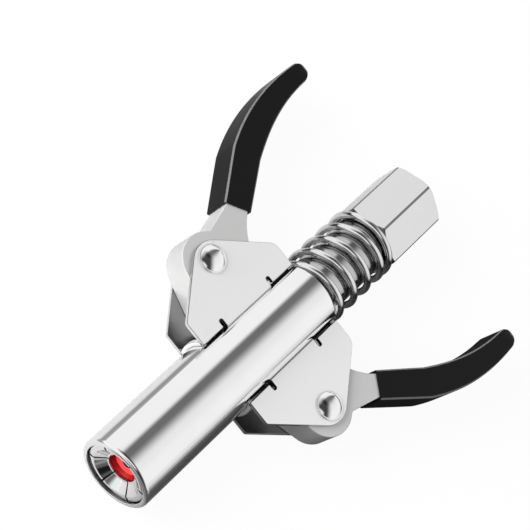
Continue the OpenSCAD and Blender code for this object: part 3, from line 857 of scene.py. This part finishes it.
def ring_matrix(place, way, half, thick):
    return (Matrix.Translation((PIVOT_X + place.x, PIVOT_Y + place.y, 0))
            @ Matrix.Rotation(math.atan2(way.y, way.x), 4, "Z") @ Matrix.Diagonal((1, half, thick, 1)))


def grip_rings(coat, thick, drop):
    """Matrices that carry the unit ring along the handle and round its tip."""
    way = (HANDLE_CURVE[0] - HANDLE_START).normalized()
    length = (HANDLE_CURVE[0] - HANDLE_START).length
    rings = [ring_matrix(HANDLE_START + way * length * s, way, START_HALF + START_GROWS * s - coat, thick)
             for s in (0, 0.02, 0.25, 0.5, 0.75)]
    for k in range(STATIONS + 1):
        place, way, half = on_curve(CURVE_END * k / STATIONS)
        rings.append(ring_matrix(place, way, half - coat, thick))
    for k in range(1, TIP_STEPS):
        a = 0.5 * math.pi * k / TIP_STEPS
        reach = TIP_REACH * (half - coat) * math.sin(a)
        rings.append(ring_matrix(place + way * reach, way, (half - coat) * math.cos(a),
                                 thick - drop * (1 - math.cos(a))))
    return rings


print("grip has", len(grip_rings(0, GRIP_HALF, 1)), "stations")


# %% Grips
TIP_DROP = 0.9
INSIDE_HALF = 4.55
INSIDE_GAP = 0.05
GRIP_EDGE = 0.12


def push(bm, corner_y, corner_z, rings):
    """Pushes a ring with cut corners through the stations and closes its end. Returns the first ring."""
    flat = outline(bm, [(1, 1 - corner_z), (1 - corner_y, 1), (corner_y - 1, 1), (-1, 1 - corner_z),
                        (-1, corner_z - 1), (corner_y - 1, -1), (1 - corner_y, -1), (1, corner_z - 1)])
    verts = list(flat.verts)
    bmesh.ops.rotate(bm, cent=ZERO, verts=verts, matrix=Matrix.Rotation(math.pi / 2, 3, "X"))
    bmesh.ops.rotate(bm, cent=ZERO, verts=verts, matrix=Matrix.Rotation(math.pi / 2, 3, "Z"))
    first = list(flat.edges)
    bmesh.ops.delete(bm, geom=[flat], context="FACES_ONLY")
    bmesh.ops.transform(bm, matrix=rings[0], verts=verts)
    edges = first
    for before, after in zip(rings, rings[1:]):
        grown = bmesh.ops.extrude_edge_only(bm, edges=edges)["geom"]
        edges = [g for g in grown if isinstance(g, bmesh.types.BMEdge) and g.is_boundary]
        verts = [g for g in grown if isinstance(g, bmesh.types.BMVert)]
        bmesh.ops.transform(bm, matrix=after @ before.inverted(), verts=verts)
    bmesh.ops.edgeloop_fill(bm, edges=edges)
    return first


for word, side in (("left", 1), ("right", -1)):
    sock = bmesh.new()
    outer = push(sock, 0.11, 0.08, grip_rings(0, GRIP_HALF, TIP_DROP))
    inner = push(sock, 0.05, 0.04, grip_rings(COAT - INSIDE_GAP, INSIDE_HALF, 0))
    bmesh.ops.bridge_loops(sock, edges=outer + inner)
    bmesh.ops.recalc_face_normals(sock, faces=sock.faces)
    bmesh.ops.scale(sock, vec=Vector((1, side, 1)), verts=sock.verts)
    bmesh.ops.recalc_face_normals(sock, faces=sock.faces)
    # The cut corners get the lighter vinyl, a painted highlight along the grip's edges.
    paint([f for f in sock.faces if 0.3 < abs(f.normal.z) < 0.95], 1)
    soften(sock, sharp_edges(sock, 22), GRIP_EDGE)
    make_piece(sock, f"{word}_grip_coat", f"{word}_lever", [dipped_vinyl, painted_highlight_vinyl],
               [f"{word}_grip"])

# %% [markdown]
# ## Hidden pieces
# The inner pieces keep their solid shapes and get finishes, because a section or a pulled-apart view
# shows them.

# %% Hidden pieces
HIDDEN = {"carrier_washer": turned_brass, "jaw_carrier": jaw_nickel, "check_ball": sleeve_chrome,
          "seal_washer": turned_brass, "seal_cap": turned_brass, "jaw_ring": black_rubber}
for node, finish in HIDDEN.items():
    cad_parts[node].material_slots[0].material = finish
print(len(HIDDEN), "hidden pieces finished")

# %% [markdown]
# ## Studio
# The picture has a white ground and plain soft light. The floor is a sheet of pale paper just below the
# coupler. It is not part of the object.

# %% Floor
FLOOR_Z = -10.45
FLOOR_HALF = 3.0
slab = bmesh.new()
bmesh.ops.create_grid(slab, x_segments=1, y_segments=1, size=FLOOR_HALF)
bmesh.ops.translate(slab, vec=(0, 0, FLOOR_Z * MM), verts=slab.verts)
floor_mesh = bpy.data.meshes.new("floor")
slab.to_mesh(floor_mesh)
slab.free()
floor = bpy.data.objects.new("floor", floor_mesh)
bpy.context.scene.collection.objects.link(floor)
paper = bpy.data.materials.new("floor_paper")
paper.use_nodes = True
paper_shader = paper.node_tree.nodes["Principled BSDF"]
paper_shader.inputs["Roughness"].default_value = 0.9
floor_mesh.materials.append(paper)
print("floor at", FLOOR_Z, "mm")

# %% [markdown]
# Paper glows a little for the camera, so it is white apart from the shadow. Plating shows whatever lies
# round it, so mirrored rays find a floor with lighter and darker areas: dark on the far side, a dark band
# on the near side and a dark patch before the nose, a lighter end and a bright spot beside the spring,
# and a pale horizon. Each area is a product of ramps, with its edges in metres.

# %% Floor tones
PAPER = 0.86
CAMERA_GLOW = 0.94
SPOT_GLOW = 0.6
HORIZON_GLOW = 0.86
wire = Wire(paper.node_tree)
along, across = wire.add("ShaderNodeTexCoord", output="Object").split()[:2]


def ray_kinds(wire):
    """One for rays from the camera, and one for mirrored or refracted rays."""
    direct, glossy, through = (wire.add("ShaderNodeLightPath", output=name)
                               for name in ("Is Camera Ray", "Is Glossy Ray", "Is Transmission Ray"))
    return direct, glossy + through


def ramp(value, low, high):
    """Rises from zero at low to one at high, or falls if low is the greater."""
    return value.add("ShaderNodeMapRange", {"interpolation_type": "SMOOTHSTEP"},
                     {"Value": value, "From Min": low, "From Max": high, "To Min": 0.0, "To Max": 1.0})


outer = 1.0 - ramp(across, -0.045, -0.26) * ramp(along, -0.20, -0.135)
far_side = ramp(across, 0.006, -0.029) * outer
near_band = (ramp(across, 0.026, 0.040) * ramp(across, 0.125, 0.056)
             * ramp(along, 0.005, -0.015) * ramp(along, -0.175, -0.140))
under_nose = (ramp(along, -0.1275, -0.1305) * ramp(along, -0.150, -0.138)
              * ramp(across, -0.016, -0.010) * ramp(across, 0.006, 0.002))
bright_end = 0.3 * ramp(along, -0.050, -0.025) * ramp(across, 0.0, 0.010)
lit = (0.68 * (1.0 - 0.90 * far_side) * (1.0 - 0.64 * near_band) * (1.0 - 0.80 * under_nose)
       * (1.0 + bright_end))
direct, mirrored = ray_kinds(wire)
bounced = 1.0 - direct - mirrored
# Bounced rays find the far side darker as well: painted shade on the faces turned towards it.
paper_tone = PAPER * (direct + mirrored * lit + bounced * (1.0 - 0.7 * far_side))
spot = (ramp(along, -0.052, -0.040) * ramp(along, -0.012, -0.025)
        * ramp(across, 0.010, 0.016) * ramp(across, 0.045, 0.028))
horizon = ramp(across, 0.068, 0.130)
seen = CAMERA_GLOW * direct + mirrored * (SPOT_GLOW * spot + HORIZON_GLOW * horizon)
glow = wire.add("ShaderNodeEmission", None, {"Color": grey(1.0), "Strength": 1.0})
paper.node_tree.links.new(paper_tone.socket, paper_shader.inputs["Base Color"])
mixed = wire.add("ShaderNodeMixShader", None,
                 {0: seen, 1: Wire(paper.node_tree, paper_shader.outputs[0]), 2: glow})
paper.node_tree.links.new(mixed.socket, paper.node_tree.nodes["Material Output"].inputs["Surface"])
print("paper", len(paper.node_tree.nodes), "nodes")

# %% [markdown]
# The sky is a white tent with dark strips along X, which draw the streaks that make plating look like metal.
# Its upper front is dark, and so is a patch low before the nose, which gives the rivets and the funnel
# their depth. Only mirrored rays see this. The camera sees white, and other rays find one plain level.

# %% Sky
FRONT_DARK = 0.94
LOW_FRONT_DARK = 0.84
PLAIN_LEVEL = 0.45
sky = bpy.data.worlds.new("white_tent")
sky.use_nodes = True
bpy.context.scene.world = sky
wire = Wire(sky.node_tree)
x, y, z = wire.add("ShaderNodeTexCoord", output="Generated").split()
tilt = y.angle_from(z)


def strip(outer_low, inner_low, inner_high, outer_high):
    """One inside a strip of sky along X, given by its edges in degrees from the zenith towards +Y."""
    edges = [math.radians(d) for d in (outer_low, inner_low, inner_high, outer_high)]
    return ramp(tilt, edges[0], edges[1]) * ramp(tilt, edges[3], edges[2])


front = ramp(x, 0.55, 0.10) * ramp(x - 0.7 * y, 0.55, -0.15) * ramp(y, 0.95, 0.45)
shut = ramp(z, 0.50, 0.62) * ramp(x, -0.66, -0.50)
open_low = (1.0 - shut) * ramp(y, -0.40, -0.15)
streak = (0.73 * strip(-16, 20, 31, 46) + 0.10 * strip(-50, -10, 31, 46)) * ramp(x, -0.15, 0.20)
low = 0.25 * ramp(tilt, math.radians(-68), math.radians(-92))
low_front = ramp(z, 0.45, 0.30) * ramp(x, -0.60, -0.85) * ramp(y, 0.28, 0.05)
tent = ((1.0 - streak - low) * (1.0 - FRONT_DARK * front * (1.0 - open_low))
        * (1.0 - LOW_FRONT_DARK * low_front))
direct, mirrored = ray_kinds(wire)
level = mirrored * tent + direct + (1.0 - direct - mirrored) * PLAIN_LEVEL
backdrop = sky.node_tree.nodes["Background"]
backdrop.inputs["Color"].default_value = grey(1.0)
sky.node_tree.links.new(level.socket, backdrop.inputs["Strength"])
print("sky", len(sky.node_tree.nodes), "nodes")

# %% [markdown]
# Two round lamps give the shading: a large key from the side, and a small fill from the camera's side.
# Mirrored rays do not see them, so they leave no glare on the plating.

# %% Lamps
MIDDLE = Vector((-0.06, 0, 0))


def soft_lamp(name, size, energy, place):
    """A round lamp that faces the middle of the coupler."""
    light = bpy.data.lights.new(name, "AREA")
    light.shape = "DISK"
    light.size = size
    light.energy = energy
    lamp = bpy.data.objects.new(name, light)
    away = Vector(place) - MIDDLE
    lamp.matrix_world = Matrix.Translation(place) @ away.to_track_quat("Z", "Y").to_matrix().to_4x4()
    lamp.visible_glossy = False
    bpy.context.scene.collection.objects.link(lamp)


soft_lamp("key", size=0.7, energy=13.0, place=(-0.45, 0.55, 0.28))
soft_lamp("fill", size=0.3, energy=1.0, place=(-0.55, 0.10, 0.45))
print("two lamps")
